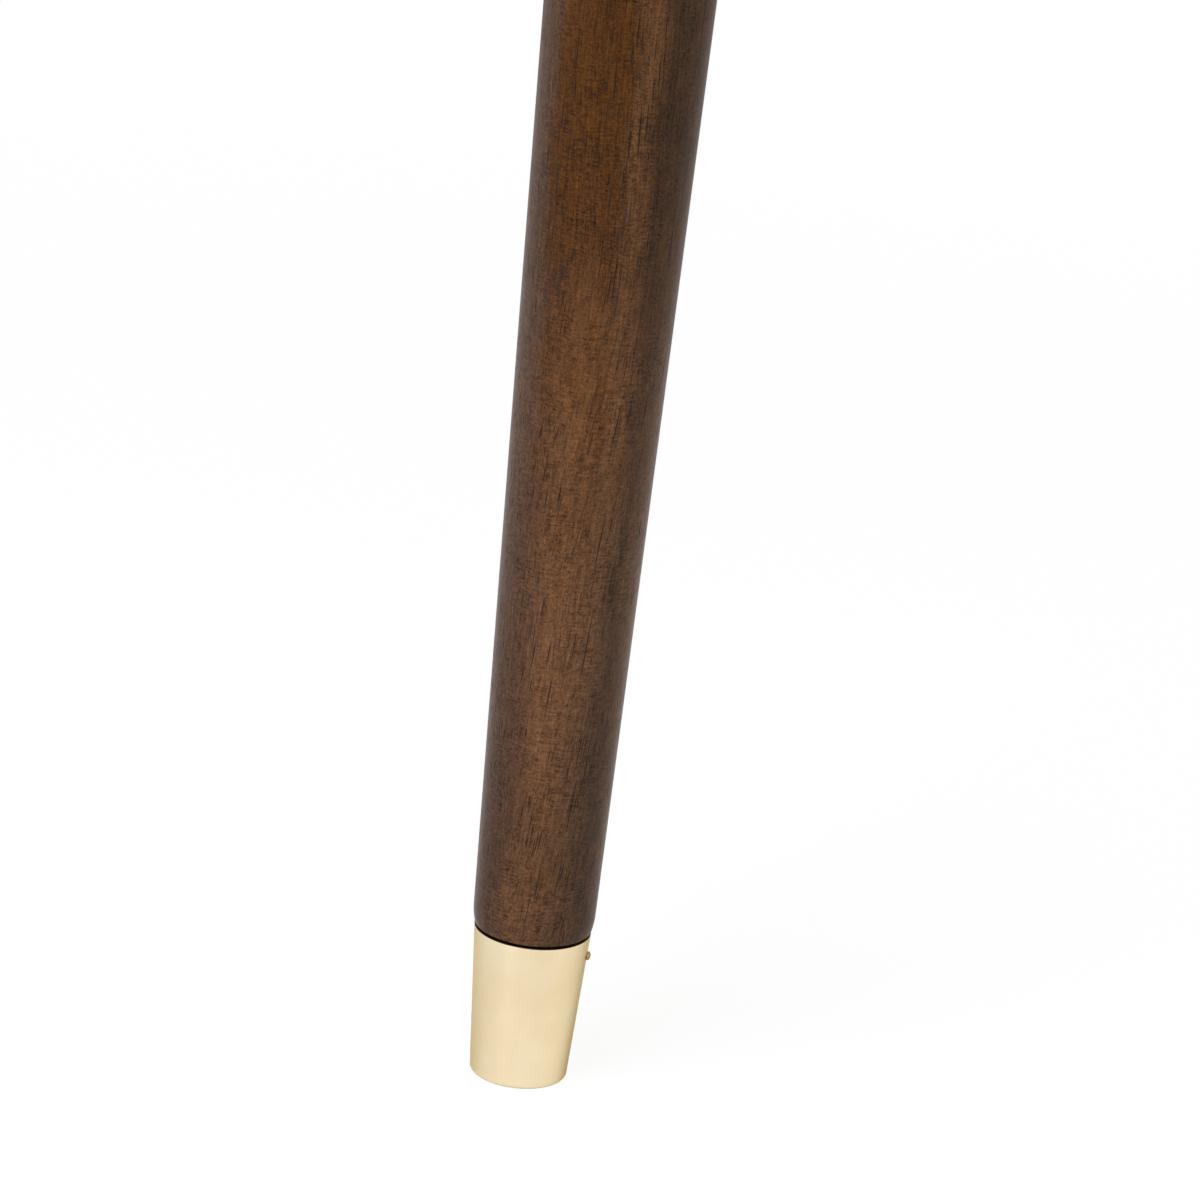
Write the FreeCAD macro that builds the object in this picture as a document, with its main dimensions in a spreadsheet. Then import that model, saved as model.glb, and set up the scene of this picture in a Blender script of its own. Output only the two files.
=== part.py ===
import FreeCAD, Part
import math
import os
from collections import namedtuple

import Sketcher

# Tapered furniture leg: a turned wooden shaft, a brass ferrule over its tenon,
# a round-headed pin that holds the ferrule, and a hanger bolt in the top.
# The origin is the middle of the foot's underside, +Z runs up the leg, +X points at the pin.
# Lengths are in millimetres.

leg_sizes = {
    "leg_length": 400,          # underside of the foot to the top face of the wood
    "top_diameter": 46.7,
    "top_bevel": 0.8,
    "shoulder_swell": 0.55,     # how far the wood's straight taper would stand proud of the rim
    "ease_height": 4.5,         # height over which the wood curves in from that taper to the rim
    "arris_bevel": 0.3,         # lower edge of the wood, above the rim
    "shoulder_gap": 0.75,       # open line between the wood and the rim
    "tenon_clearance": 0.08,    # all round, inside the ferrule's bore
    "tenon_end_gap": 0.1,
    "tenon_bevel": 1,
    "ferrule_height": 40,
    "mouth_diameter": 30,       # outside of the ferrule at its rim
    "foot_diameter": 25,        # outside of the ferrule at the floor, before its edge is rounded
    "ferrule_wall": 1.5,        # at the foot, where the taper leaves it thinnest
    "ferrule_floor": 2.5,
    "foot_round": 0.9,
    "rim_bevel": 0.25,
    "pin_drop": 5.7,            # the pin's seat, measured down from the rim
    "pin_length": 12,           # under the head, to the point
    "pin_point": 1.8,
    "shank_diameter": 1.3,
    "head_diameter": 2.3,
    "head_edge": 0.45,          # height of the head's straight edge, under its dome
    "dome_rise": 0.45,
    "pin_clearance": 0.03,
    "pin_end_gap": 0.3,
    "stud_diameter": 8,         # outside of the machine thread above the wood
    "stud_reach": 25,
    "stud_bevel": 1,
    "screw_step": 0.5,          # how much smaller in radius the end is that is driven into the wood
    "screw_depth": 38,
    "screw_point": 9,
    "bolt_clearance": 0.05,
    "bolt_end_gap": 0.5,
    "bolt_mouth_margin": 0.8,   # how far the hole's countersunk mouth clears the stud
}

full_turn = 360
drill_point_angle = 118
countersink_angle = 90
same_place = 1e-4               # two edges this close are the same one
drilled_share = 0.5             # least share of a plain hole's volume that a cut has to remove

# Places and sizes that several pieces share, as expressions on the driving sizes.
mouth_radius = "(Sizes.mouth_diameter / 2)"
foot_radius = "(Sizes.foot_diameter / 2)"
top_radius = "(Sizes.top_diameter / 2)"
bore_radius = f"({foot_radius} - Sizes.ferrule_wall)"
tenon_radius = f"({bore_radius} - Sizes.tenon_clearance)"
ferrule_slope = f"(({mouth_radius} - {foot_radius}) / Sizes.ferrule_height)"
shoulder_height = "(Sizes.ferrule_height + Sizes.shoulder_gap)"
ease_top = f"({shoulder_height} + Sizes.ease_height)"
wood_slope = f"(({top_radius} - {mouth_radius} - Sizes.shoulder_swell) / (Sizes.leg_length - {shoulder_height}))"
tenon_end = "(Sizes.ferrule_floor + Sizes.tenon_end_gap)"
pin_height = "(Sizes.ferrule_height - Sizes.pin_drop)"
pin_seat = f"({foot_radius} + {ferrule_slope} * {pin_height})"
pin_tilt = f"atan({ferrule_slope})"
pin_hole_radius = "(Sizes.shank_diameter / 2 + Sizes.pin_clearance)"
wall_at_pin = f"({pin_seat} - {bore_radius})"
head_height = "(Sizes.head_edge + Sizes.dome_rise)"
stud_radius = "(Sizes.stud_diameter / 2)"
screw_radius = f"({stud_radius} - Sizes.screw_step)"
bolt_hole_radius = f"({screw_radius} + Sizes.bolt_clearance)"
bolt_hole_depth = "(Sizes.screw_depth + Sizes.bolt_end_gap)"


# Radius of the wood's straight taper at a height above the foot.
def wood_side(height):
    return f"({mouth_radius} + Sizes.shoulder_swell + {wood_slope} * ({height} - {shoulder_height}))"


# A named corner of an outline. An arc radius makes an arc on to the next corner, bulging outwards.
Corner = namedtuple("Corner", "name across up arc_radius", defaults=[None])


def add_sizes(doc):
    sheet = doc.addObject("Spreadsheet::Sheet", "Sizes")
    for row, (name, size) in enumerate(leg_sizes.items(), start=1):
        sheet.set(f"A{row}", name)
        sheet.set(f"B{row}", str(size))
        sheet.setAlias(f"B{row}", name)
    doc.recompute()
    return sheet


def add_body(doc, name):
    body = doc.addObject("PartDesign::Body", name)
    body.Label = name
    return body


def origin_plane(body, role):
    for feature in body.Origin.OriginFeatures:
        if feature.Role == role:
            return feature
    raise ValueError(f"{body.Label} has no {role}")


# The number that an expression on the sizes comes to.
def worth(body, expression):
    return float(body.evalExpression(expression))


def add_sketch(body, name, plane):
    sketch = body.newObject("Sketcher::SketchObject", name)
    sketch.AttachmentSupport = [(origin_plane(body, plane), "")]
    sketch.MapMode = "FlatFace"
    return sketch


# Holds one coordinate of a corner to its expression, or to the axis where it is nothing.
def hold_corner(sketch, line, kind, axis, name, expression):
    if expression == "0":
        sketch.addConstraint(Sketcher.Constraint("PointOnObject", line, 1, axis))
        return
    number = worth(sketch, expression)
    constraint = sketch.addConstraint(Sketcher.Constraint(kind, line, 1, number))
    sketch.renameConstraint(constraint, name)
    sketch.setExpression(f"Constraints.{name}", expression)


# Anticlockwise arc from start to end, so that an outline drawn that way bulges outwards.
def bulging_arc(start, end, radius):
    chord = end - start
    across = FreeCAD.Vector(-chord.y, chord.x, 0).normalize()
    reach = (radius ** 2 - (chord.Length / 2) ** 2) ** 0.5
    circle = Part.Circle((start + end) / 2 + across * reach, FreeCAD.Vector(0, 0, 1), radius)
    return Part.ArcOfCircle(circle, circle.parameter(start), circle.parameter(end))


# Closed outline in the body's XZ plane, its corners given anticlockwise.
def draw_outline(body, name, corners):
    horizontal_axis = -1
    vertical_axis = -2
    sketch = add_sketch(body, name, "XZ_Plane")
    places = [FreeCAD.Vector(worth(body, corner.across), worth(body, corner.up), 0) for corner in corners]
    for line, corner in enumerate(corners):
        start = places[line]
        end = places[(line + 1) % len(corners)]
        if corner.arc_radius is None:
            sketch.addGeometry(Part.LineSegment(start, end), False)
        else:
            sketch.addGeometry(bulging_arc(start, end, worth(body, corner.arc_radius)), False)
    for line, corner in enumerate(corners):
        following = (line + 1) % len(corners)
        sketch.addConstraint(Sketcher.Constraint("Coincident", line, 2, following, 1))
        hold_corner(sketch, line, "DistanceX", vertical_axis, f"{corner.name}_across", corner.across)
        hold_corner(sketch, line, "DistanceY", horizontal_axis, f"{corner.name}_up", corner.up)
        if corner.arc_radius is not None:
            radius = worth(body, corner.arc_radius)
            constraint = sketch.addConstraint(Sketcher.Constraint("Radius", line, radius))
            sketch.renameConstraint(constraint, f"{corner.name}_radius")
            sketch.setExpression(f"Constraints.{corner.name}_radius", corner.arc_radius)
    return sketch


def revolve(body, name, sketch, axis, kind="PartDesign::Revolution"):
    feature = body.newObject(kind, name)
    feature.Profile = sketch
    feature.ReferenceAxis = (sketch, [axis])
    feature.Angle = full_turn
    body.Document.recompute()
    return feature


# The circular edge of a body that has this radius at this height.
def ring_edge(body, radius, height):
    for number, edge in enumerate(body.Tip.Shape.Edges, start=1):
        if not isinstance(edge.Curve, Part.Circle):
            continue
        wide = abs(edge.Curve.Radius - worth(body, radius)) < same_place
        high = abs(edge.Curve.Center.z - worth(body, height)) < same_place
        if wide and high:
            return f"Edge{number}"
    raise ValueError(f"{body.Label} has no edge of radius {radius} at {height}")


def round_edge(body, name, radius, height, rounding):
    edge = ring_edge(body, radius, height)
    fillet = body.newObject("PartDesign::Fillet", name)
    fillet.Base = (fillet.BaseFeature, [edge])
    fillet.setExpression("Radius", rounding)
    body.Document.recompute()


def bevel_edge(body, name, radius, height, bevel):
    edge = ring_edge(body, radius, height)
    chamfer = body.newObject("PartDesign::Chamfer", name)
    chamfer.Base = (chamfer.BaseFeature, [edge])
    chamfer.setExpression("Size", bevel)
    body.Document.recompute()


# Stops if a cut took less than its share of a plain cylinder out of the solid before it.
def check_cut(feature, radius, depth):
    removed = feature.BaseFeature.Shape.Volume - feature.Shape.Volume
    cylinder = math.pi * worth(feature, radius) ** 2 * worth(feature, depth)
    if removed < drilled_share * cylinder:
        raise ValueError(f"{feature.Label} removed only {removed:.3f} cubic millimetres")


# Hole for the pin, square to the ferrule's slope at the pin's seat. It ends this far in from the
# ferrule's outside, and the cut depth is how much of it lies in this body.
def drill_for_pin(body, depth, cut_depth):
    hole = [
        Corner("hole_end", f"-{depth}", "0"),
        Corner("mouth", head_height, "0"),
        Corner("mouth_wall", head_height, pin_hole_radius),
        Corner("end_wall", f"-{depth}", pin_hole_radius),
    ]
    sketch = draw_outline(body, "pin_hole_outline", hole)
    seat = f"vector({pin_seat}; {pin_height}; 0)"
    turn = f"rotation(vector(0; 0; 1); -{pin_tilt})"
    sketch.setExpression(".AttachmentOffset", f"placement({seat}; {turn})")
    groove = revolve(body, "pin_hole", sketch, "H_Axis", "PartDesign::Groove")
    check_cut(groove, pin_hole_radius, cut_depth)


# One piece of timber: tenon, flat shoulder, eased lower edge, straight taper and top face.
def make_leg_shaft(doc):
    body = add_body(doc, "leg_shaft")
    ease_lean = f"({wood_side(ease_top)} - {mouth_radius})"
    ease_chord = f"(Sizes.ease_height ^ 2 + {ease_lean} ^ 2)"
    ease_radius = f"{ease_chord} * sqrt(1 + {wood_slope} ^ 2) / (2 * Sizes.shoulder_swell)"
    outline = [
        Corner("tenon_middle", "0", tenon_end),
        Corner("tenon_edge", tenon_radius, tenon_end),
        Corner("tenon_root", tenon_radius, shoulder_height),
        Corner("shoulder_edge", mouth_radius, shoulder_height, ease_radius),
        Corner("taper_start", wood_side(ease_top), ease_top),
        Corner("top_edge", top_radius, "Sizes.leg_length"),
        Corner("top_middle", "0", "Sizes.leg_length"),
    ]
    sketch = draw_outline(body, "shaft_outline", outline)
    revolve(body, "turned_shaft", sketch, "V_Axis")
    bevel_edge(body, "tenon_end_bevel", tenon_radius, tenon_end, "Sizes.tenon_bevel")
    bevel_edge(body, "shoulder_arris", mouth_radius, shoulder_height, "Sizes.arris_bevel")
    bevel_edge(body, "top_edge_bevel", top_radius, "Sizes.leg_length", "Sizes.top_bevel")
    drill_for_bolt(body)
    pilot_depth = "(Sizes.pin_length + Sizes.pin_end_gap)"
    drill_for_pin(body, pilot_depth, f"({pilot_depth} - {wall_at_pin} - Sizes.tenon_clearance)")
    return body


# Blind hole in the top face, with a countersunk mouth and the cone that the drill leaves.
def drill_for_bolt(body):
    sketch = add_sketch(body, "bolt_hole_circle", "XY_Plane")
    sketch.setExpression(".AttachmentOffset.Base.z", "Sizes.leg_length")
    centre = FreeCAD.Vector(0, 0, 0)
    upward = FreeCAD.Vector(0, 0, 1)
    radius = worth(body, bolt_hole_radius)
    sketch.addGeometry(Part.Circle(centre, upward, radius), False)
    sketch.addConstraint(Sketcher.Constraint("Coincident", 0, 3, -1, 1))
    constraint = sketch.addConstraint(Sketcher.Constraint("Radius", 0, radius))
    sketch.renameConstraint(constraint, "hole_radius")
    sketch.setExpression("Constraints.hole_radius", bolt_hole_radius)
    body.Document.recompute()
    hole = body.newObject("PartDesign::Hole", "bolt_hole")
    hole.Profile = sketch
    body.Document.recompute()
    hole.Threaded = False
    hole.DepthType = "Dimension"
    hole.DrillPoint = "Angled"
    hole.DrillPointAngle = drill_point_angle
    hole.HoleCutType = "Countersink"
    hole.HoleCutCountersinkAngle = countersink_angle
    hole.setExpression("Diameter", f"2 * {bolt_hole_radius}")
    hole.setExpression("Depth", bolt_hole_depth)
    hole.setExpression("HoleCutDiameter", "Sizes.stud_diameter + 2 * Sizes.bolt_mouth_margin")
    body.Document.recompute()
    check_cut(hole, bolt_hole_radius, bolt_hole_depth)


# Brass ferrule with a closed foot: tapered outside, and bored parallel for the tenon.
def make_ferrule(doc):
    body = add_body(doc, "ferrule")
    outline = [
        Corner("foot_middle", "0", "0"),
        Corner("foot_edge", foot_radius, "0"),
        Corner("rim_outside", mouth_radius, "Sizes.ferrule_height"),
        Corner("rim_inside", bore_radius, "Sizes.ferrule_height"),
        Corner("floor_edge", bore_radius, "Sizes.ferrule_floor"),
        Corner("floor_middle", "0", "Sizes.ferrule_floor"),
    ]
    sketch = draw_outline(body, "ferrule_outline", outline)
    revolve(body, "turned_ferrule", sketch, "V_Axis")
    round_edge(body, "foot_edge_round", foot_radius, "0", "Sizes.foot_round")
    bevel_edge(body, "rim_edge_bevel", mouth_radius, "Sizes.ferrule_height", "Sizes.rim_bevel")
    drill_for_pin(body, f"({wall_at_pin} + Sizes.shank_diameter)", wall_at_pin)
    return body


# Round-headed pin, drawn along its own X axis with its seat under the head at X = 0.
def make_ferrule_pin(doc):
    body = add_body(doc, "ferrule_pin")
    shank_radius = "(Sizes.shank_diameter / 2)"
    head_radius = "(Sizes.head_diameter / 2)"
    dome_radius = f"(({head_radius} ^ 2 + Sizes.dome_rise ^ 2) / (2 * Sizes.dome_rise))"
    outline = [
        Corner("tip", "-Sizes.pin_length", "0"),
        Corner("crown", head_height, "0", dome_radius),
        Corner("dome_edge", "Sizes.head_edge", head_radius),
        Corner("head_seat", "0", head_radius),
        Corner("neck", "0", shank_radius),
        Corner("point_root", "-(Sizes.pin_length - Sizes.pin_point)", shank_radius),
    ]
    sketch = draw_outline(body, "pin_outline", outline)
    revolve(body, "turned_pin", sketch, "H_Axis")
    seat = f"vector({pin_seat}; 0; {pin_height})"
    turn = f"rotation(vector(0; 1; 0); {pin_tilt})"
    body.setExpression(".Placement", f"placement({seat}; {turn})")
    return body


# Double-ended bolt: a pointed screw in the wood and a stud that stands out of the top face.
def make_hanger_bolt(doc):
    body = add_body(doc, "hanger_bolt")
    screw_end = "(Sizes.leg_length - Sizes.screw_depth)"
    stud_end = "(Sizes.leg_length + Sizes.stud_reach)"
    outline = [
        Corner("screw_tip", "0", screw_end),
        Corner("point_root", screw_radius, f"({screw_end} + Sizes.screw_point)"),
        Corner("screw_root", screw_radius, "Sizes.leg_length"),
        Corner("stud_root", stud_radius, "Sizes.leg_length"),
        Corner("stud_edge", stud_radius, stud_end),
        Corner("stud_middle", "0", stud_end),
    ]
    sketch = draw_outline(body, "bolt_outline", outline)
    revolve(body, "turned_bolt", sketch, "V_Axis")
    bevel_edge(body, "stud_end_bevel", stud_radius, stud_end, "Sizes.stud_bevel")
    return body


def check_document(doc, bodies):
    for item in doc.Objects:
        if "Invalid" in item.State or "Error" in item.State:
            raise ValueError(f"{item.Label} failed: {item.State}")
    for body in bodies:
        if body.Shape.isNull() or not body.Shape.isValid():
            raise ValueError(f"{body.Label} has no valid shape")


doc = FreeCAD.newDocument("furniture_leg")
add_sizes(doc)
bodies = [
    make_leg_shaft(doc),
    make_ferrule(doc),
    make_ferrule_pin(doc),
    make_hanger_bolt(doc),
]
doc.recompute()
check_document(doc, bodies)
os.makedirs("parts", exist_ok=True)
for body in bodies:
    body.Shape.exportStep(f"parts/{body.Label}.step")
    print(f"{body.Label}: {body.Shape.Volume / 1000:.2f} cubic centimetres")
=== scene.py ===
from math import atan, cos, degrees, pi, radians, sin, sqrt

import bmesh
import bpy
from mathutils import Matrix, Vector


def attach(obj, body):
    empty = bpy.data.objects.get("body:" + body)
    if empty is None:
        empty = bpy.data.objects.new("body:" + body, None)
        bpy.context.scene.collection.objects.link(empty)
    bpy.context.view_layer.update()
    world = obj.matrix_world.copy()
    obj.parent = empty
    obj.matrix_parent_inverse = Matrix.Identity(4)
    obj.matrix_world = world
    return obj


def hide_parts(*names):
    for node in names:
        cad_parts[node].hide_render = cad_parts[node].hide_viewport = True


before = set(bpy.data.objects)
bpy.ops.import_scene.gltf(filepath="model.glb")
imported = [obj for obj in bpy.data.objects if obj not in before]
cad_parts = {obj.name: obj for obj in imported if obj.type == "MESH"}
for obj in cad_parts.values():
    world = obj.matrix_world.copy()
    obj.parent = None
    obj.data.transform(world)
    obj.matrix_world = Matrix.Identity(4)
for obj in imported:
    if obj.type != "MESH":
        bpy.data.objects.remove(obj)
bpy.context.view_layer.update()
mm = 0.001

# Tapered furniture leg standing on its ferrule. Every length in the dictionaries is in millimetres.
# The camera looks along +Y, six degrees off, so that the pin on +X is seen almost in profile.

cameraSetup = {
    "lens": 150,
    "sensor": 36,
    "pixels": 1200,
    "distance": 1298,
    "azimuth": 6,
    "elevation": 24,
    "roll": 5.98,                # the leg leans to the right in the picture
    "footAcross": 517.8,         # where the middle of the foot falls, in pixels from the left
    "footDown": 1069.4,
    "clipEnd": 60000,
}


def placeCamera(setup):
    around = radians(setup["azimuth"])
    rise = radians(setup["elevation"])
    outward = Vector((sin(around) * cos(rise), -cos(around) * cos(rise), sin(rise)))
    right = (-outward).cross(Vector((0, 0, 1))).normalized()
    up = right.cross(-outward)
    level = Matrix((right, up, outward)).transposed()
    rolled = level @ Matrix.Rotation(radians(setup["roll"]), 3, "Z")
    focal = setup["lens"] / setup["sensor"] * setup["pixels"]
    middle = setup["pixels"] / 2
    footRay = Vector(((setup["footAcross"] - middle) / focal, (middle - setup["footDown"]) / focal, -1))
    turn = Vector((0, 0, -1)).rotation_difference(footRay.normalized()).to_matrix()
    camera = bpy.data.objects.new("camera", bpy.data.cameras.new("camera"))
    camera.data.lens = setup["lens"]
    camera.data.sensor_width = setup["sensor"]
    camera.data.clip_end = setup["clipEnd"] * mm
    place = (rolled @ turn.inverted()).to_4x4()
    place.translation = outward * setup["distance"] * mm
    camera.matrix_world = place
    bpy.context.scene.collection.objects.link(camera)
    bpy.context.scene.camera = camera


placeCamera(cameraSetup)
print("camera placed")


# shader maths: a node's output that can be used in sums
class Wire:
    def __init__(self, tree, socket=None):
        self.tree = tree
        self.socket = socket

    # settings go first, then the values or links of the sockets
    def make(self, kind, settings=None, sockets=None, output=0):
        node = self.tree.nodes.new(kind)
        for name, value in (settings or {}).items():
            if name == "stops":
                self.fillRamp(node.color_ramp, value)
            else:
                setattr(node, name, value)
        for name, value in (sockets or {}).items():
            if isinstance(value, Wire):
                self.tree.links.new(value.socket, node.inputs[name])
            else:
                node.inputs[name].default_value = value
        return Wire(self.tree, node.outputs[output])

    def fillRamp(self, ramp, stops):
        while len(ramp.elements) < len(stops):
            ramp.elements.new(1)
        for element, (place, colour) in zip(ramp.elements, stops):
            element.position = place
            element.color = (*colour, 1)

    def sum(self, operation, first, second):
        return self.make("ShaderNodeMath", {"operation": operation}, {0: first, 1: second})

    def __add__(self, other):
        return self.sum("ADD", self, other)

    def __radd__(self, other):
        return self.sum("ADD", other, self)

    def __sub__(self, other):
        return self.sum("SUBTRACT", self, other)

    def __rsub__(self, other):
        return self.sum("SUBTRACT", other, self)

    def __mul__(self, other):
        return self.sum("MULTIPLY", self, other)

    def __rmul__(self, other):
        return self.sum("MULTIPLY", other, self)

    def __truediv__(self, other):
        return self.sum("DIVIDE", self, other)

    def __abs__(self):
        return self.sum("ABSOLUTE", self, 0)

    def larger(self, other):
        return self.sum("MAXIMUM", self, other)

    # 0 below the low value, 1 above the high one, and smooth between
    def between(self, low, high):
        settings = {"interpolation_type": "SMOOTHSTEP"}
        return self.make("ShaderNodeMapRange", settings, {"Value": self, "From Min": low, "From Max": high})

    # the same at the low value, and back to 0 over the second pair of heights
    def within(self, low, high, fallFrom, fallTo):
        return self.between(low, high) * (1 - self.between(fallFrom, fallTo))

    def joinXYZ(self, across, deep, up):
        return self.make("ShaderNodeCombineXYZ", None, {"X": across, "Y": deep, "Z": up})

    def grey(self):
        return self.joinXYZ(self, self, self)

    def part(self, axis):
        return self.make("ShaderNodeSeparateXYZ", None, {"Vector": self}, axis)

    def stretch(self, across, deep, up):
        sockets = {0: self, 1: (across, deep, up)}
        return self.make("ShaderNodeVectorMath", {"operation": "MULTIPLY"}, sockets)

    def length(self):
        return self.make("ShaderNodeVectorMath", {"operation": "LENGTH"}, {0: self}, "Value")

    def noise(self, scale, detail=2, roughness=0.5):
        sockets = {"Vector": self, "Scale": scale, "Detail": detail, "Roughness": roughness}
        return self.make("ShaderNodeTexNoise", None, sockets, "Fac")

    def tint(self, factor, other, blend="MIX"):
        settings = {"data_type": "RGBA", "blend_type": blend}
        return self.make("ShaderNodeMix", settings, {0: factor, 6: self, 7: other}, 2)

    def ramp(self, stops):
        return self.make("ShaderNodeValToRGB", {"stops": stops}, {"Fac": self}, "Color")


# a material with its principled shader and the object's own coordinates in millimetres
def startMaterial(name):
    material = bpy.data.materials.new(name)
    material.use_nodes = True
    tree = material.node_tree
    shader = tree.nodes["Principled BSDF"]
    inMetres = Wire(tree).make("ShaderNodeTexCoord", None, None, "Object")
    return material, shader, inMetres.stretch(1 / mm, 1 / mm, 1 / mm)


def feed(shader, socket, wire):
    wire.tree.links.new(wire.socket, shader.inputs[socket])


def bumpFrom(height, strength, distance, under=None):
    sockets = {"Height": height, "Strength": strength, "Distance": distance * mm}
    if under:
        sockets["Normal"] = under
    return height.make("ShaderNodeBump", None, sockets)


# colours are written as seen on screen and turned into the shader's own scale
def seen(red, green, blue):
    shares = [value / 255 for value in (red, green, blue)]
    return tuple(share / 12.92 if share <= 0.04045 else ((share + 0.055) / 1.055) ** 2.4
                 for share in shares)


def addPiece(name, mesh, node, material):
    piece = bpy.data.objects.new(name, mesh)
    bpy.context.scene.collection.objects.link(piece)
    piece.data.materials.append(material)
    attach(piece, "root")
    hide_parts(node)
    return piece


# edges that turn more than this many degrees stay crisp
def markEdges(mesh, sharpest=32):
    for edge in mesh.edges:
        edge.smooth = edge.calc_face_angle(0) < radians(sharpest)


def finishMesh(mesh, name, sharpest=32):
    bmesh.ops.recalc_face_normals(mesh, faces=mesh.faces)
    for face in mesh.faces:
        face.smooth = True
    markEdges(mesh, sharpest)
    data = bpy.data.meshes.new(name)
    mesh.to_mesh(data)
    mesh.free()
    return data


# turns a profile of (radius, height) corners about Z; both ends lie on the axis
def lathe(profile, sides):
    mesh = bmesh.new()
    angles = [2 * pi * step / sides for step in range(sides)]
    rings = []
    for radius, height in profile:
        if radius == 0:
            rings.append([mesh.verts.new((0, 0, height * mm))])
            continue
        corners = [(radius * cos(angle) * mm, radius * sin(angle) * mm, height * mm) for angle in angles]
        rings.append([mesh.verts.new(corner) for corner in corners])
    for lower, upper in zip(rings, rings[1:]):
        for step in range(sides):
            after = (step + 1) % sides
            corners = [lower[step % len(lower)], lower[after % len(lower)]]
            corners += [upper[after % len(upper)], upper[step % len(upper)]]
            mesh.faces.new(dict.fromkeys(corners))
    return mesh


# points of an arc, angles in degrees, from start to end
def arc(centre, radius, start, end, steps):
    angles = [radians(start + (end - start) * step / steps) for step in range(steps + 1)]
    return [(centre[0] + radius * cos(angle), centre[1] + radius * sin(angle)) for angle in angles]


# points along a straight run, the last one left for what follows
def run(start, end, steps):
    shares = [step / steps for step in range(steps)]
    return [tuple(a + (b - a) * share for a, b in zip(start, end)) for share in shares]


# takes a tool's shape out of a piece, or joins it on
def combine(piece, toolMesh, operation, weld=0.0001):
    tool = bpy.data.objects.new("tool", toolMesh)
    bpy.context.scene.collection.objects.link(tool)
    modifier = piece.modifiers.new("combine", "BOOLEAN")
    modifier.operation = operation
    modifier.solver = "EXACT"
    modifier.object = tool
    graph = bpy.context.evaluated_depsgraph_get()
    result = bpy.data.meshes.new_from_object(piece.evaluated_get(graph))
    piece.modifiers.clear()
    old = piece.data
    piece.data = result
    bpy.data.meshes.remove(old)
    bpy.data.objects.remove(tool)
    cleaned = bmesh.new()
    cleaned.from_mesh(result)
    bmesh.ops.remove_doubles(cleaned, verts=cleaned.verts, dist=weld * mm)
    markEdges(cleaned)
    cleaned.to_mesh(result)
    cleaned.free()


# the ferrule and its pin
ferruleSizes = {
    "height": 40,
    "mouth": 15,                 # outside radius at the rim
    "foot": 12.5,                # outside radius at the floor, before its edge is rounded
    "bore": 11,
    "floor": 2.5,
    "footRound": 0.9,
    "rimRound": 0.18,
    "rimInnerRound": 0.2,
    "cornerRound": 0.8,
    "middleRing": 4,             # a ring of corners on the flat faces
    "wallSteps": 36,
    "boreSteps": 18,
    "pinHeight": 34.3,
    "pinHole": 0.68,
    "pinHoleReach": 6,
    "pinHoleOutside": 0.6,
    "sides": 224,
}
pinSizes = {
    "head": 1.15,
    "headHeight": 0.9,
    "headEdge": 0.45,            # straight part of the head's side, under the dome
    "headRound": 0.1,
    "headBevel": 0.06,
    "neckBevel": 0.05,
    "shank": 0.65,
    "length": 12,
    "point": 1.8,
    "tip": 0.06,
    "tipHeight": 0.08,
    "sides": 48,
}
ferruleSlope = (ferruleSizes["mouth"] - ferruleSizes["foot"]) / ferruleSizes["height"]
pinSeat = ferruleSizes["foot"] + ferruleSlope * ferruleSizes["pinHeight"]
pinTurn = Matrix.Rotation(pi / 2 + atan(ferruleSlope), 4, "Y")
pinPlace = Matrix.Translation((pinSeat * mm, 0, ferruleSizes["pinHeight"] * mm)) @ pinTurn


def ferruleProfile(sizes):
    lean = degrees(atan(ferruleSlope))
    longer = sqrt(1 + ferruleSlope ** 2)
    footRound = sizes["footRound"]
    rimRound = sizes["rimRound"]
    footCentre = (sizes["foot"] + (ferruleSlope - longer) * footRound, footRound)
    rimLevel = sizes["height"] - rimRound
    rimCentre = (sizes["foot"] + ferruleSlope * rimLevel - rimRound * longer, rimLevel)
    innerCentre = (sizes["bore"] + sizes["rimInnerRound"], sizes["height"] - sizes["rimInnerRound"])
    cornerCentre = (sizes["bore"] - sizes["cornerRound"], sizes["floor"] + sizes["cornerRound"])
    foot = arc(footCentre, footRound, -90, -lean, 10)
    rim = arc(rimCentre, rimRound, -lean, 90, 6)
    profile = [(0, 0)] + run((sizes["middleRing"], 0), foot[0], 3) + foot[:-1]
    profile += run(foot[-1], rim[0], sizes["wallSteps"]) + rim
    profile += arc(innerCentre, sizes["rimInnerRound"], 90, 180, 4)
    boreTop = (sizes["bore"], innerCentre[1])
    profile += run(boreTop, (sizes["bore"], cornerCentre[1]), sizes["boreSteps"])[1:]
    profile += arc(cornerCentre, sizes["cornerRound"], 0, -90, 5)
    return profile + [(sizes["middleRing"], sizes["floor"]), (0, sizes["floor"])]


def pinProfile(sizes):
    head = sizes["head"]
    edge = sizes["headEdge"]
    ease = sizes["headRound"]
    bevel = sizes["headBevel"]
    neck = sizes["neckBevel"]
    domeFoot = edge + ease * 0.6
    rise = sizes["headHeight"] - domeFoot
    wide = head - ease * 0.5
    dome = (wide ** 2 + rise ** 2) / (2 * rise)
    start = 90 - degrees(atan(wide / (dome - rise)))
    crown = arc((0, sizes["headHeight"] - dome), dome, start, 90, 14)[:-1]
    shank = [(0, -sizes["length"]), (sizes["tip"], -sizes["length"] + sizes["tipHeight"])]
    shank += [(sizes["shank"], -sizes["length"] + sizes["point"]), (sizes["shank"], -neck)]
    side = [(sizes["shank"] + neck, 0), (head - bevel, 0), (head, bevel), (head, edge)]
    side += [(head - ease * 0.15, edge + ease * 0.35)]
    return shank + side + crown + [(0, sizes["headHeight"])]


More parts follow.
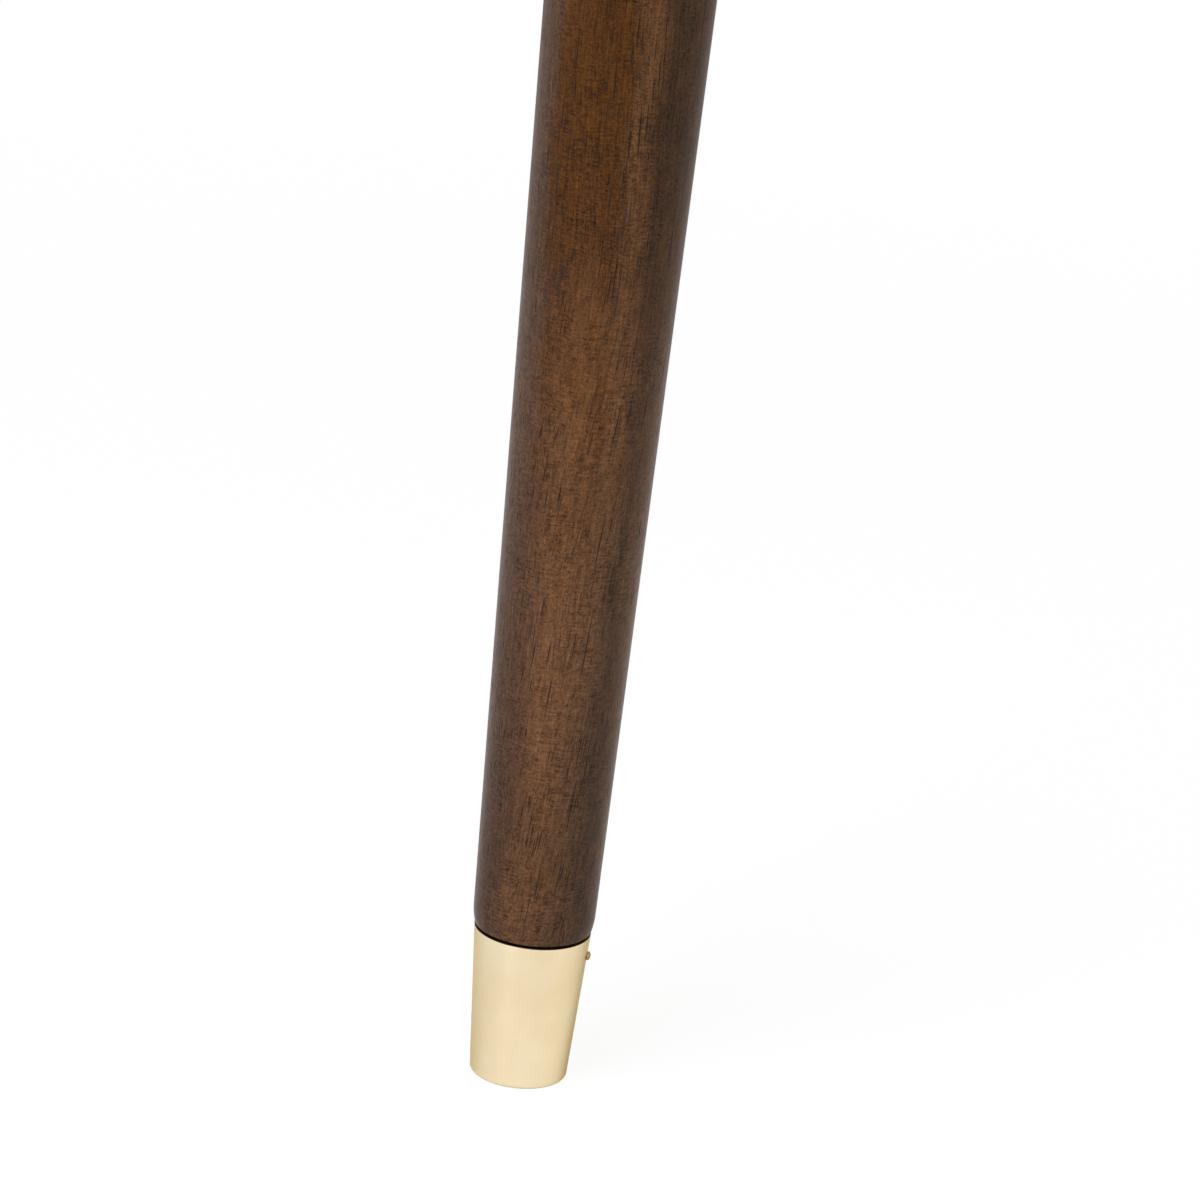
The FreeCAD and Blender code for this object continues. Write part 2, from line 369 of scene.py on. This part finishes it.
def pinHoleTool(sizes, reach):
    radius = sizes["pinHole"]
    outside = sizes["pinHoleOutside"]
    mesh = lathe([(0, -reach), (radius, -reach), (radius, outside), (0, outside)], 32)
    mesh.transform(pinPlace)
    return finishMesh(mesh, "pinHole")


# the ferrule is polished; the pin is the same brass made darker, a painted dark reflection on its domed
# head
brassLooks = {
    "polishedBrass": {"colour": (0.732, 0.628, 0.432), "roughness": 0.35},
    "pinBrassPaintedDark": {"colour": (0.32, 0.21, 0.1), "roughness": 0.24},
}
brassFinish = {
    "deepShare": (0.93, 0.9, 0.84),    # the deeper patches against the plain colour
    "floorShadeShare": 0.4,                  # and the painted shade near the floor, standing in for a dimmer reflection of the floor
    "floorShadeAmount": 0.12,
    "floorShadeHeights": (2, 15),
    "rimGapShade": (0.07, 0.045, 0.025, 1),
    "rimGapShadeDepths": (0.16, 0.06),  # painted shade, under the rim's top face
    "smudges": 0.12,
    "scratches": 0.05,
    "edgeTint": (0.78, 0.675, 0.47, 1),
    "drawnOut": 0.85,
    "drawnTurn": 0.25,
}


# turned brass: its finest lines run round it and draw the reflections out along the leg
def brassMaterial(name, look, finish):
    material, shader, place = startMaterial(name)
    colour = look["colour"]
    height = place.part("Z")
    cloud = place.noise(0.05, 3)
    lines = place.stretch(0.02, 0.02, 5).noise(1, 3, 0.6)
    smudge = place.stretch(0.16, 0.16, 0.07).noise(1, 4, 0.62)
    wave = place.stretch(0.28, 0.28, 0.03).noise(1, 1)
    deep = tuple(channel * share for channel, share in zip(colour, finish["deepShare"]))
    floorShade = tuple(channel * finish["floorShadeShare"] for channel in colour)
    base = cloud.between(0.3, 0.72).ramp([(0, deep), (1, colour)])
    # painted shade: the brass darkens towards the floor, for the dimmer reflection of the floor there
    nearFloor = 1 - height.between(*finish["floorShadeHeights"])
    base = base.tint(nearFloor * finish["floorShadeAmount"], (*floorShade, 1))
    # painted shade: the rim's top face, in the gap under the wood's shoulder, is darkened
    rimHeights = [ferruleSizes["height"] - depth for depth in finish["rimGapShadeDepths"]]
    base = base.tint(height.between(*rimHeights), finish["rimGapShade"])
    roughness = look["roughness"] + (smudge - 0.5) * finish["smudges"] + (lines - 0.5) * finish["scratches"]
    feed(shader, "Base Color", base)
    feed(shader, "Roughness", roughness)
    feed(shader, "Normal", bumpFrom(lines, 0.05, 0.02, bumpFrom(wave, 0.2, 0.3)))
    shader.inputs["Metallic"].default_value = 1
    shader.inputs["Specular Tint"].default_value = finish["edgeTint"]
    shader.inputs["Anisotropic"].default_value = finish["drawnOut"]
    shader.inputs["Anisotropic Rotation"].default_value = finish["drawnTurn"]
    return material


ferruleBrass, pinBrass = [brassMaterial(name, look, brassFinish) for name, look in brassLooks.items()]
ferruleMesh = finishMesh(lathe(ferruleProfile(ferruleSizes), ferruleSizes["sides"]), "turnedFerrule")
ferrule = addPiece("turnedFerrule", ferruleMesh, "ferrule", ferruleBrass)
combine(ferrule, pinHoleTool(ferruleSizes, ferruleSizes["pinHoleReach"]), "DIFFERENCE")
pinMesh = lathe(pinProfile(pinSizes), pinSizes["sides"])
pinMesh.transform(pinPlace)
addPiece("domedPin", finishMesh(pinMesh, "domedPin"), "ferrule_pin", pinBrass)
print("ferrule and pin made")


# the wooden shaft
shaftSizes = {
    "length": 400,
    "top": 23.35,
    "topRound": 0.8,
    "faceStep": 0.4,
    "shoulder": 40.75,           # height of the flat shoulder, above the open line over the rim
    "shoulderEdge": 15,
    "swell": 0.55,
    "easeTop": 45.25,
    "arrisRound": 0.22,
    "tenon": 10.92,
    "tenonEnd": 2.6,
    "tenonBevel": 1,
    "boltHole": 3.55,
    "boltMouth": 4.8,
    "boltHoleEnd": 361.5,
    "drillPoint": 0.6,           # the hole's pointed end, as a share of its radius
    "pinHoleDepth": 12.3,
    "tenonSteps": 12,
    "taperSteps": 72,
    "sides": 288,
}


def shaftProfile(sizes):
    length = sizes["length"]
    shoulder = sizes["shoulder"]
    wide = sizes["shoulderEdge"] + sizes["swell"]
    slope = (sizes["top"] - wide) / (length - shoulder)
    easeEnd = Vector((wide + slope * (sizes["easeTop"] - shoulder), sizes["easeTop"]))
    arris = Vector((sizes["shoulderEdge"], shoulder))
    inward = Vector((-1, slope)).normalized()
    chord = arris - easeEnd
    easeRadius = chord.length_squared / (2 * chord.dot(inward))
    easeCentre = easeEnd + inward * easeRadius
    start = -degrees(atan((easeCentre.y - shoulder - sizes["arrisRound"]) / (arris.x - easeCentre.x)))
    end = -degrees(atan((easeCentre.y - easeEnd.y) / (easeEnd.x - easeCentre.x)))
    ease = arc(easeCentre, easeRadius, start, end, 10)
    arrisCentre = (ease[0][0] - sizes["arrisRound"], shoulder + sizes["arrisRound"])
    topRound = sizes["topRound"]
    topLean = atan(slope)
    topCentre = (sizes["top"] - slope * topRound - topRound / cos(topLean), length - topRound)
    crown = arc(topCentre, topRound, -degrees(topLean), 90, 6)
    tenon = sizes["tenon"]
    bevel = sizes["tenonBevel"]
    tenonFoot = (tenon, sizes["tenonEnd"] + bevel)
    profile = [(0, sizes["tenonEnd"]), (tenon - bevel, sizes["tenonEnd"])]
    profile += run(tenonFoot, (tenon, shoulder), sizes["tenonSteps"]) + [(tenon, shoulder)]
    profile += arc(arrisCentre, sizes["arrisRound"], -90, 0, 5) + ease[1:-1]
    profile += run(ease[-1], crown[0], sizes["taperSteps"]) + crown
    hole = sizes["boltHole"]
    mouth = sizes["boltMouth"]
    profile += run((crown[-1][0] - sizes["faceStep"], length), (mouth, length), 6)
    profile += [(mouth, length), (hole, length - (mouth - hole)), (hole, sizes["boltHoleEnd"])]
    return profile + [(0, sizes["boltHoleEnd"] - hole * sizes["drillPoint"])]


# stain colours as seen on screen, and where they lie across the face, in mm from the middle
woodLook = {
    "viewAzimuth": 6,            # the face that the camera sees is turned by this much
    "pith": (-95, 12),           # the log's middle, across and deep
    "flattened": 0.75,           # the growth layers are wider than they are deep
    "plum": (79, 55, 39),
    "amber": (101, 69, 45),
    "chestnut": (89, 63, 43),
    "umber": (69, 50, 37),
    "honey": (74, 43, 12),
    "fawn": (87, 58, 34),
    "bark": (61, 41, 26),
    "pore": (27, 19, 14),
    "greyPore": (44, 39, 36),
    "endGrain": (48, 33, 26),
    # the last low stop, chestnut at 18 mm, lightens the right edge again: a painted warm sheen
    "lowLayers": [(-10.5, "plum"), (-4, "amber"), (1, "amber"),
                  (8, "chestnut"), (13, "umber"), (18, "chestnut")],
    "highLayers": [(-13.5, "plum"), (-10, "honey"), (4.5, "honey"),
                   (8, "fawn"), (10.5, "fawn"), (13.5, "bark")],
    "layerReach": 25,
    "layerWander": 12,
    "layerBlotch": 10,
    "highFrom": 105,             # heights between which the upper colours take over
    "highTo": 265,
    "highBlotch": 120,
    # how pale the stain came out, by height
    "stainShares": [(55, 0.7), (80, 0.735), (95, 0.8), (120, 0.86), (155, 0.88), (187, 0.96),
                    (215, 0.84), (236, 0.81), (262, 0.86)],
    # a pale patch and a darker one over it, down the middle of the face
    "patchMiddle": -3,
    "patchSides": (4, 13),
    "patchBlotch": 40,
    "palePatch": {"heights": (150, 180, 200, 215), "amount": 0.07},
    "darkPatch": {"heights": (206, 222, 238, 262), "amount": 0.09},
    # the fibres lean to the right under the first of these heights, and stand straight over the last
    "grainLean": 0.1,
    "leanMiddle": 215,
    "leanHeights": (160, 250),
    "fibreBend": 5,
    # how much each pattern lightens and darkens the stain
    "growthShade": 0.6,
    "highGrowthShade": 0.6,
    "mottleShade": 0.6,
    "fibreShade": 2.2,
    "speckShade": 2.9,
    "rippleShade": 0.8,
    "rippledShade": 1.8,
    # long thin cells along the grain, thick in some spots
    "pores": [
        {"stretch": (1.25, 1.25, 0.022), "width": 0.23, "crowd": (0.38, 0.6), "share": 0.85, "depth": 1},
        {"stretch": (1.6, 1.6, 0.055), "width": 0.25, "crowd": (0.36, 0.66), "share": 0.75, "depth": 1},
        {"stretch": (2.4, 2.4, 0.15), "width": 0.28, "crowd": (0.25, 0.7), "share": 0.45, "depth": 0.6},
    ],
    "poreDepth": 0.9,
    "endGrainShare": 0.75,
    "gloss": 0.08,
    "roughness": 0.34,
    "mottleRoughness": 0.15,
    "poreRoughness": 0.2,
    "endGrainRoughness": 0.15,
}


def layerStops(look, layers):
    reach = look["layerReach"]
    return [((place + reach) / (2 * reach), seen(*look[colour])) for place, colour in layers]


def stainStops(look):
    return [(height / shaftSizes["length"], (share, share, share)) for height, share in look["stainShares"]]


# 1 in the middle of a cell whose own chance is met, 0 outside
def cells(place, width, share):
    sockets = {"Vector": place, "Scale": 1}
    distance = place.make("ShaderNodeTexVoronoi", {"feature": "F1"}, sockets, "Distance")
    chance = place.make("ShaderNodeTexVoronoi", {"feature": "F1"}, sockets, "Color").part("X")
    taken = (share - chance).between(-0.03, 0.03)
    return taken * (1 - distance.between(width * 0.75, width * 1.1))


def poreMask(look, grain):
    crowd = grain.stretch(0.12, 0.12, 0.035).noise(1, 3, 0.6)
    mask = None
    for pore in look["pores"]:
        share = crowd.between(*pore["crowd"]) * pore["share"]
        layer = cells(grain.stretch(*pore["stretch"]), pore["width"], share) * pore["depth"]
        mask = mask.larger(layer) if mask else layer
    return mask


def stainedWood(look):
    material, shader, place = startMaterial("stainedWood")
    turn = {"Vector": place, "Angle": -radians(look["viewAzimuth"])}
    facing = place.make("ShaderNodeVectorRotate", {"rotation_type": "Z_AXIS"}, turn)
    across = facing.part("X")
    deep = facing.part("Y")
    up = facing.part("Z")
    # growth layers round the pith, wandering a little up the leg
    wander = facing.stretch(0.02, 0.02, 0.008).noise(1, 2)
    blotch = facing.stretch(0.07, 0.07, 0.03).noise(1.3, 3, 0.6)
    pithAcross, pithDeep = look["pith"]
    flattened = look["flattened"]
    log = facing.joinXYZ(across + (wander - 0.5) * look["layerWander"], deep * flattened, 0)
    pith = {0: log, 1: (pithAcross, pithDeep * flattened, 0)}
    pithDistance = log.make("ShaderNodeVectorMath", {"operation": "SUBTRACT"}, pith).length()
    layer = pithDistance + pithAcross + (blotch - 0.5) * look["layerBlotch"]
    layerShare = (layer + look["layerReach"]) / (2 * look["layerReach"])
    lowColour = layerShare.ramp(layerStops(look, look["lowLayers"]))
    highColour = layerShare.ramp(layerStops(look, look["highLayers"]))
    higher = (up + (blotch - 0.5) * look["highBlotch"]).between(look["highFrom"], look["highTo"])
    colour = lowColour.tint(higher, highColour)
    # fibres, and the fine patterns across them
    lean = (up - look["leanMiddle"]) * look["grainLean"] * (1 - up.between(*look["leanHeights"]))
    fibreBend = (facing.stretch(0.03, 0.03, 0.012).noise(1, 1) - 0.5) * look["fibreBend"]
    grain = facing.joinXYZ(across - lean + fibreBend, deep, up)
    growth = grain.stretch(0.75, 0.75, 0.01).noise(1, 4, 0.7)
    mottle = facing.stretch(0.25, 0.25, 0.13).noise(1, 4, 0.6)
    fibre = grain.stretch(2.6, 2.6, 0.16).noise(1, 3, 0.75)
    ripple = facing.stretch(0.4, 0.4, 1.7).noise(1, 3, 0.75)
    rippled = facing.stretch(0.06, 0.06, 0.03).noise(1.3, 2).between(0.38, 0.6)
    speck = grain.stretch(1.5, 1.5, 2.1).noise(1, 3, 0.8)
    shade = 1 + (growth - 0.5) * (look["growthShade"] + higher * look["highGrowthShade"])
    shade = shade + (mottle - 0.5) * look["mottleShade"] + (fibre - 0.5) * look["fibreShade"]
    shade = shade + (speck - 0.5) * look["speckShade"]
    shade = shade + (ripple - 0.5) * (look["rippleShade"] + rippled * look["rippledShade"])
    inPatch = 1 - abs(across - look["patchMiddle"]).between(*look["patchSides"])
    along = up + (blotch - 0.5) * look["patchBlotch"]
    for name, sign in (("palePatch", 1), ("darkPatch", -1)):
        patch = look[name]
        shade = shade + along.within(*patch["heights"]) * inPatch * (sign * patch["amount"])
    stain = (up / shaftSizes["length"]).ramp(stainStops(look))
    colour = colour.tint(1, stain, "MULTIPLY").tint(1, shade.grey(), "MULTIPLY")
    pores = poreMask(look, grain)
    greyer = grain.stretch(0.07, 0.07, 0.03).noise(1.6, 2).between(0.5, 0.62)
    poreColour = greyer.ramp([(0, seen(*look["pore"])), (1, seen(*look["greyPore"]))])
    colour = colour.tint(pores * look["poreDepth"], poreColour)
    # end grain drinks more of the stain
    endGrain = abs(place.make("ShaderNodeNewGeometry", None, None, "Normal").part("Z")).between(0.6, 0.85)
    rings = pithDistance.joinXYZ(pithDistance * 0.7, 0, 0).noise(1, 3, 0.6)
    endColour = (0.8 + (rings - 0.5) * 1.6).grey().stretch(*seen(*look["endGrain"]))
    colour = colour.tint(endGrain * look["endGrainShare"], endColour)
    roughness = look["roughness"] + (mottle - 0.5) * look["mottleRoughness"]
    roughness = roughness + pores * look["poreRoughness"] + endGrain * look["endGrainRoughness"]
    skin = bumpFrom(mottle * 0.6 + ripple * 0.4, 0.15, 0.12)
    cut = bumpFrom(1 - pores, 0.3, 0.1, skin)
    feed(shader, "Base Color", colour)
    feed(shader, "Roughness", roughness)
    feed(shader, "Normal", bumpFrom(fibre, 0.1, 0.03, cut))
    shader.inputs["Specular IOR Level"].default_value = look["gloss"]
    return material


shaftMesh = finishMesh(lathe(shaftProfile(shaftSizes), shaftSizes["sides"]), "turnedShaft")
shaft = addPiece("turnedShaft", shaftMesh, "leg_shaft", stainedWood(woodLook))
combine(shaft, pinHoleTool(ferruleSizes, shaftSizes["pinHoleDepth"]), "DIFFERENCE")
print("shaft made")


# the hanger bolt: a machine thread over a wood screw
boltSizes = {
    "wood": 400,                 # height of the top face, where the machine thread starts
    "end": 425,
    "major": 4,
    "minor": 3.24,
    "pitch": 1.25,
    "crest": 0.125,              # flat parts of the thread, as shares of the pitch
    "root": 0.25,
    "runIn": (0.3, 1.6),         # the thread starts over these heights above the wood
    "overlap": 0.02,
    "endBevel": 1,
    "neck": 3.5,
    "neckEnd": 396,
    "neckEase": 3,
    "screwMajor": 3.5,
    "screwMinor": 2.5,
    "screwPitch": 3,
    "screwCrest": 0.08,
    "screwRoot": 0.5,
    "screwEnd": 362,
    "pointHeight": 9,
    "pointShare": 0.02,          # how blunt the point is
    "threadSteps": 16,
    "screwSteps": 20,
    "sides": 72,
    "sharpest": 38,
}


# grid that follows the thread's own helix, cut square at both ends
# radiusAt(turn share, height) gives its form
def threadMesh(low, high, pitch, stepsPerTurn, radiusAt):
    mesh = bmesh.new()
    sides = boltSizes["sides"]
    rows = int((high - low) / pitch + 3) * stepsPerTurn
    grid = []
    for row in range(rows):
        ring = []
        for step in range(sides):
            height = low - 2 * pitch + pitch * (row / stepsPerTurn + step / sides)
            radius = radiusAt((row / stepsPerTurn) % 1, height)
            angle = 2 * pi * step / sides
            ring.append(mesh.verts.new((radius * cos(angle) * mm, radius * sin(angle) * mm, height * mm)))
        grid.append(ring)
    for row in range(rows - 1):
        lower, upper = grid[row], grid[row + 1]
        for step in range(sides - 1):
            mesh.faces.new((lower[step], lower[step + 1], upper[step + 1], upper[step]))
        joined = row + stepsPerTurn
        if joined + 1 < rows:
            mesh.faces.new((lower[-1], grid[joined][0], grid[joined + 1][0], upper[-1]))
    for height, outward in ((low, -1), (high, 1)):
        parts = mesh.verts[:] + mesh.edges[:] + mesh.faces[:]
        plane = {"plane_co": (0, 0, height * mm), "plane_no": (0, 0, outward)}
        cut = bmesh.ops.bisect_plane(mesh, geom=parts, clear_outer=True, **plane)
        rim = [item for item in cut["geom_cut"] if isinstance(item, bmesh.types.BMEdge)]
        bmesh.ops.holes_fill(mesh, edges=rim)
    return mesh


def between(value, low, high):
    share = min(max((value - low) / (high - low), 0), 1)
    return share * share * (3 - 2 * share)


# height of a thread's flank over its root, 0 to 1: a crest in the middle of the turn and a flat root
def flank(share, crest, root):
    away = abs(share - 0.5)
    return min(max((0.5 - root / 2 - away) / (0.5 - root / 2 - crest / 2), 0), 1)


def studRadius(share, height):
    sizes = boltSizes
    low, high = sizes["runIn"]
    start = between(height, sizes["wood"] + low, sizes["wood"] + high)
    thread = flank(share, sizes["crest"], sizes["root"])
    radius = sizes["minor"] + (sizes["major"] - sizes["minor"]) * (thread * start + 0.5 * (1 - start))
    return min(radius, sizes["major"] - max(height - sizes["end"] + sizes["endBevel"], 0))


def screwRadius(share, height):
    sizes = boltSizes
    thread = 1 - between(height, sizes["neckEnd"] - sizes["neckEase"], sizes["neckEnd"])
    ridge = flank(share, sizes["screwCrest"], sizes["screwRoot"])
    ridged = sizes["screwMinor"] + (sizes["screwMajor"] - sizes["screwMinor"]) * ridge
    radius = ridged * thread + sizes["neck"] * (1 - thread)
    return radius * min(max((height - sizes["screwEnd"]) / sizes["pointHeight"], sizes["pointShare"]), 1)


zincLook = {
    "dark": (0.29, 0.3, 0.32),
    "light": (0.39, 0.4, 0.41),
    "roughness": 0.35,
    "unevenness": 0.2,
}


def zincMaterial(look):
    material, shader, place = startMaterial("brightZinc")
    spangle = place.noise(0.9, 3)
    feed(shader, "Base Color", spangle.between(0.3, 0.75).ramp([(0, look["dark"]), (1, look["light"])]))
    feed(shader, "Roughness", look["roughness"] + (spangle - 0.5) * look["unevenness"])
    feed(shader, "Normal", bumpFrom(place.noise(2.4, 3), 0.05, 0.02))
    shader.inputs["Metallic"].default_value = 1
    return material


def makeBolt(sizes):
    studFoot = sizes["wood"] - sizes["overlap"]
    stud = threadMesh(studFoot, sizes["end"], sizes["pitch"], sizes["threadSteps"], studRadius)
    screwPitch = sizes["screwPitch"]
    screw = threadMesh(sizes["screwEnd"], sizes["wood"], screwPitch, sizes["screwSteps"], screwRadius)
    screwMesh = finishMesh(screw, "hangerBolt", sizes["sharpest"])
    bolt = addPiece("hangerBolt", screwMesh, "hanger_bolt", zincMaterial(zincLook))
    combine(bolt, finishMesh(stud, "stud", sizes["sharpest"]), "UNION")


makeBolt(boltSizes)
print("hanger bolt made")


# floor, world and lamps
studio = {
    "floorRadius": 7000,
    "floorSides": 128,
    "floorColour": 0.9,
    "nearWhite": 0.92,           # how much of the floor is plain white near the leg, to the camera
    "farWhite": 1,               # and far behind it
    "nearReach": 150,
    "farReach": 1300,
    "floorMirrored": 0.15,       # the same in reflections
    "worldLight": 0.25,          # what surfaces get from the surroundings, white to the camera and mirrors
}
# softboxes: azimuth as the camera's, 0 in front; sizes and distances in mm
lamps = {
    "leftBox": {"azimuth": -60, "distance": 1500, "height": 850, "wide": 2300, "tall": 1600,
                "light": 0.93, "colour": (1, 1, 1)},
    "rightBox": {"azimuth": 90, "distance": 1800, "height": 950, "wide": 2600, "tall": 1500,
                 "light": 1.5, "colour": (1, 0.87, 0.56)},
    "frontBox": {"azimuth": 26, "distance": 2400, "height": 1000, "wide": 2700, "tall": 1900,
                 "light": 0.98, "colour": (1, 1, 1)},
    "topBox": {"azimuth": -33, "distance": 900, "height": 1900, "wide": 700, "tall": 1200,
               "light": 13.4, "colour": (0.98, 0.99, 1.08)},
}
lampsAim = 150                   # height on the leg that the lamps point at


# the first share for rays from the camera, the second for those that metal and glass send on
def shownRays(bench, cameraShare, mirroredShare):
    fromCamera, glossy, through = [bench.make("ShaderNodeLightPath", None, None, name)
                                   for name in ("Is Camera Ray", "Is Glossy Ray", "Is Transmission Ray")]
    return fromCamera * cameraShare + glossy.larger(through) * mirroredShare


def makeFloor(setup):
    mesh = bmesh.new()
    radius = setup["floorRadius"] * mm
    bmesh.ops.create_circle(mesh, cap_ends=True, segments=setup["floorSides"], radius=radius)
    data = bpy.data.meshes.new("floor")
    mesh.to_mesh(data)
    mesh.free()
    floor = bpy.data.objects.new("floor", data)
    bpy.context.scene.collection.objects.link(floor)
    material = bpy.data.materials.new("paleFloor")
    material.use_nodes = True
    tree = material.node_tree
    tree.nodes.remove(tree.nodes["Principled BSDF"])
    bench = Wire(tree)
    grey = setup["floorColour"]
    paint = bench.make("ShaderNodeBsdfDiffuse", None, {"Color": (grey, grey, grey, 1)})
    white = bench.make("ShaderNodeEmission", None, {"Strength": 1})
    away = bench.make("ShaderNodeTexCoord", None, None, "Object").length()
    farther = away.between(setup["nearReach"] * mm, setup["farReach"] * mm)
    cameraShare = setup["nearWhite"] + farther * (setup["farWhite"] - setup["nearWhite"])
    shown = shownRays(bench, cameraShare, setup["floorMirrored"])
    mixed = bench.make("ShaderNodeMixShader", None, {0: shown, 1: paint, 2: white})
    tree.links.new(mixed.socket, tree.nodes["Material Output"].inputs["Surface"])
    data.materials.append(material)


def makeWorld(setup):
    world = bpy.data.worlds.new("studio")
    bpy.context.scene.world = world
    world.use_nodes = True
    background = world.node_tree.nodes["Background"]
    light = setup["worldLight"]
    feed(background, "Strength", light + shownRays(Wire(world.node_tree), 1 - light, 1 - light))
    background.inputs["Color"].default_value = (1, 1, 1, 1)


def makeLamp(name, lamp):
    data = bpy.data.lights.new(name, "AREA")
    data.shape = "RECTANGLE"
    data.size = lamp["wide"] * mm
    data.size_y = lamp["tall"] * mm
    data.energy = lamp["light"] * pi * data.size * data.size_y
    data.color = lamp["colour"]
    light = bpy.data.objects.new(name, data)
    bpy.context.scene.collection.objects.link(light)
    around = radians(lamp["azimuth"])
    outward = Vector((sin(around) * lamp["distance"], -cos(around) * lamp["distance"], lamp["height"]))
    toLeg = Vector((0, 0, lampsAim)) - outward
    light.location = outward * mm
    light.rotation_euler = toLeg.to_track_quat("-Z", "Y").to_euler()
    light.visible_camera = False


makeFloor(studio)
makeWorld(studio)
for lampName, lamp in lamps.items():
    makeLamp(lampName, lamp)
bpy.context.scene.view_settings.view_transform = "Standard"
print("studio made")
